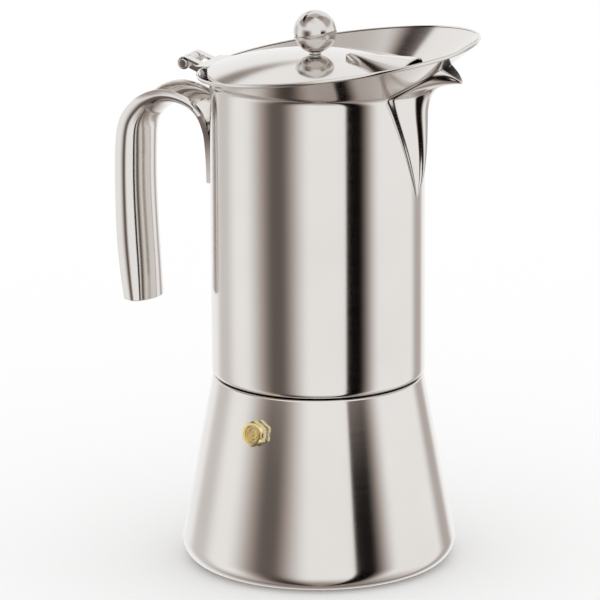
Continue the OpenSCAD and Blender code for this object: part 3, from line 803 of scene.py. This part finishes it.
# Heights of the valve are measured outwards from the cone's surface
valve = {"z": 59.2, "turn": -98.6, "flats": 8.8, "low": 1.0, "face": 4.25, "chamfer": 0.9, "hole": 0.76,
         "recess": 1.7, "recessDepth": 0.6, "grooveIn": 2.3, "grooveOut": 3.0, "grooveDepth": 0.5,
         "shank": 3.0, "shankEnd": -5.6, "bore": 1.5, "boreEnd": -4.6, "boreTop": 3.4, "inlet": 1.0,
         "bevel": 0.15, "slant": 0.1, "shankBevel": 0.3, "cornerFrom": 1.01, "cornerCut": 0.62,
         "crown": (0.97, 0.93), "crownDrop": 0.08, "sides": 180}


# Place on the boiler's cone whose z axis stands square on it
def onCone(z, turn):
    out = Matrix.Rotation(math.radians(turn), 4, "Z")
    square = Matrix.Rotation(math.radians(90 - coneAngle), 4, "Y")
    return out @ Matrix.Translation((coneRadius(z), 0, z)) @ square


def makeValve(v):
    place = onCone(v["z"], v["turn"])
    face, low, end = v["face"], v["low"], v["shankEnd"]
    bevel, slant, tip = v["bevel"], v["slant"], v["shankBevel"]
    grooveIn, grooveOut, deep = v["grooveIn"], v["grooveOut"], face - v["grooveDepth"]
    floor = face - v["recessDepth"]
    shank = [(v["inlet"], v["boreEnd"]), (v["inlet"], end), (v["shank"] - tip, end), (v["shank"], end + tip),
             (v["shank"], low)]
    inner = [(grooveOut + bevel, face), (grooveOut, face - slant), (grooveOut - slant, deep),
             (grooveIn + slant, deep), (grooveIn, face - slant), (grooveIn - bevel, face),
             (v["recess"], face), (v["recess"] - bevel, floor), (v["hole"], floor), (v["hole"], v["boreTop"]),
             (v["bore"], v["boreTop"]), (v["bore"], v["boreEnd"])]
    half = v["flats"] / 2
    points = []
    for j in range(v["sides"]):
        a = 360 * j / v["sides"]
        flat = half / cosd((a % 60) - 30)
        cut = max(0, flat - half * v["cornerFrom"]) * v["cornerCut"]
        head = [(flat - bevel, low), (flat, low + bevel), (flat, face - v["chamfer"] * 0.5 - cut),
                (half * v["crown"][0], face - v["crownDrop"]), (half * v["crown"][1], face)]
        column = shank + head + inner
        points += [place @ Vector((r * cosd(a), r * sind(a), z)) for r, z in column]
    faces = gridFaces(v["sides"], len(column), closeRows=True)
    makePiece("valveHexagon", points, faces, brass, "boiler_body", ["valve_body"], sharp=28)


makeValve(valve)
print("valve made")

finishes = {"valve_body": brass, "valve_nut": brass, "valve_plunger": brass,
            "valve_washer": silicone, "gasket": silicone}
for name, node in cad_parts.items():
    node.data.materials.clear()
    node.data.materials.append(finishes.get(name, bright))

# Dark gaps between the soft white panels that the steel mirrors. Each row: azimuth, lean of the azimuth
# with elevation, soft start and soft end round the azimuth, soft lower and upper end in elevation, depth.
studio = {"floorRadius": 3.0, "floorSides": 72, "floor": "#ffffff", "light": 1.0,
          "darkest": "#0d0807", "half": "#a89c96", "halfAt": 0.35,
          "gaps": [
              (-30, 0, (-7, -4), (9, 35), (-95, -90), (2, 20), 1.0),
              (-111, 0, (-42, -2), (4, 38), (-95, -90), (2, 22), 0.88),
              (71, 0, (-20, -4), (4, 18), (-95, -90), (6, 14), 0.5),
              (172, 0, (-22, -4), (4, 26), (-95, -90), (6, 14), 0.3),
              (90.7, 1.33, (-8, -2), (2, 9), (18, 25), (30, 38), 0.72),
              (165, 0, (-26, -10), (12, 60), (36, 39), (46, 57), 1.0),
              (150, 0, (-181, -90), (40, 170), (46, 66), (95, 96), 0.42),
              (190, 0, (-30, -15), (25, 60), (15, 30), (80, 89), 0.6),
              (40, 0, (-50, -25), (20, 38), (12, 30), (75, 88), 0.5),
              (0, 0, (-182, -181), (181, 182), (-96, -95), (-75, -28), 0.7)]}


def maths(tree, operation, *values):
    inputs = dict(enumerate(values))
    return addNode(tree, "ShaderNodeMath", {"operation": operation}, inputs).outputs["Value"]


# From start to end while the value passes between two limits
def softStep(tree, value, limits, start, end):
    return addNode(tree, "ShaderNodeMapRange", {"interpolation_type": "SMOOTHSTEP"}, {
        "Value": value, "From Min": float(limits[0]), "From Max": float(limits[1]),
        "To Min": start, "To Max": end}).outputs["Result"]


def makeWorld(s):
    world = bpy.data.worlds.new("studio")
    scene.world = world
    world.use_nodes = True
    tree = world.node_tree
    tree.nodes.clear()
    place = addNode(tree, "ShaderNodeTexCoord")
    axes = addNode(tree, "ShaderNodeSeparateXYZ", inputs={"Vector": place.outputs["Generated"]})
    turn = maths(tree, "DEGREES", maths(tree, "ARCTAN2", axes.outputs["Y"], axes.outputs["X"]))
    up = maths(tree, "DEGREES", maths(tree, "ARCSINE", axes.outputs["Z"]))
    level = None
    for at, lean, before, after, low, high, depth in s["gaps"]:
        bend = maths(tree, "MULTIPLY_ADD", up, -float(lean), -float(at))
        near = maths(tree, "WRAP", maths(tree, "ADD", turn, bend), 180.0, -180.0)
        across = maths(tree, "MULTIPLY", softStep(tree, near, before, 0.0, 1.0),
                       softStep(tree, near, after, 1.0, 0.0))
        along = maths(tree, "MULTIPLY", softStep(tree, up, low, 0.0, depth),
                      softStep(tree, up, high, 1.0, 0.0))
        light = maths(tree, "SUBTRACT", 1.0, maths(tree, "MULTIPLY", across, along))
        level = light if level is None else maths(tree, "MULTIPLY", level, light)
    ramp = addNode(tree, "ShaderNodeValToRGB", inputs={"Fac": level})
    ramp.color_ramp.elements[0].color = fromHex(s["darkest"])
    ramp.color_ramp.elements[1].color = (1, 1, 1, 1)
    middle = ramp.color_ramp.elements.new(s["halfAt"])
    middle.color = fromHex(s["half"])
    paths = addNode(tree, "ShaderNodeLightPath")
    plain = addNode(tree, "ShaderNodeBackground", inputs={"Color": (1, 1, 1, 1), "Strength": s["light"]})
    mirrored = addNode(tree, "ShaderNodeBackground", inputs={
        "Color": ramp.outputs["Color"], "Strength": s["light"]})
    mixed = addNode(tree, "ShaderNodeMixShader", inputs={
        0: paths.outputs["Is Glossy Ray"], 1: plain.outputs["Background"], 2: mirrored.outputs["Background"]})
    addNode(tree, "ShaderNodeOutputWorld", inputs={"Surface": mixed.outputs["Shader"]})


# Pale floor, which the steel doesn't mirror
def makeFloor(s):
    count, radius = s["floorSides"], s["floorRadius"]
    points = [Vector((0, 0, 0))]
    for i in range(count):
        a = 360 * i / count
        points.append(Vector((radius * cosd(a), radius * sind(a), 0)))
    faces = [(0, i + 1, (i + 1) % count + 1) for i in range(count)]
    mesh = bpy.data.meshes.new("floor")
    mesh.from_pydata(points, [], faces)
    floor = bpy.data.objects.new("floor", mesh)
    scene.collection.objects.link(floor)
    material, tree = newMaterial("paleFloor")
    shader = addNode(tree, "ShaderNodeBsdfDiffuse", inputs={"Color": fromHex(s["floor"])})
    addNode(tree, "ShaderNodeOutputMaterial", inputs={"Surface": shader.outputs["BSDF"]})
    mesh.materials.append(material)
    floor.visible_glossy = False


makeWorld(studio)
makeFloor(studio)
scene.view_settings.view_transform = "Standard"
print("studio made")
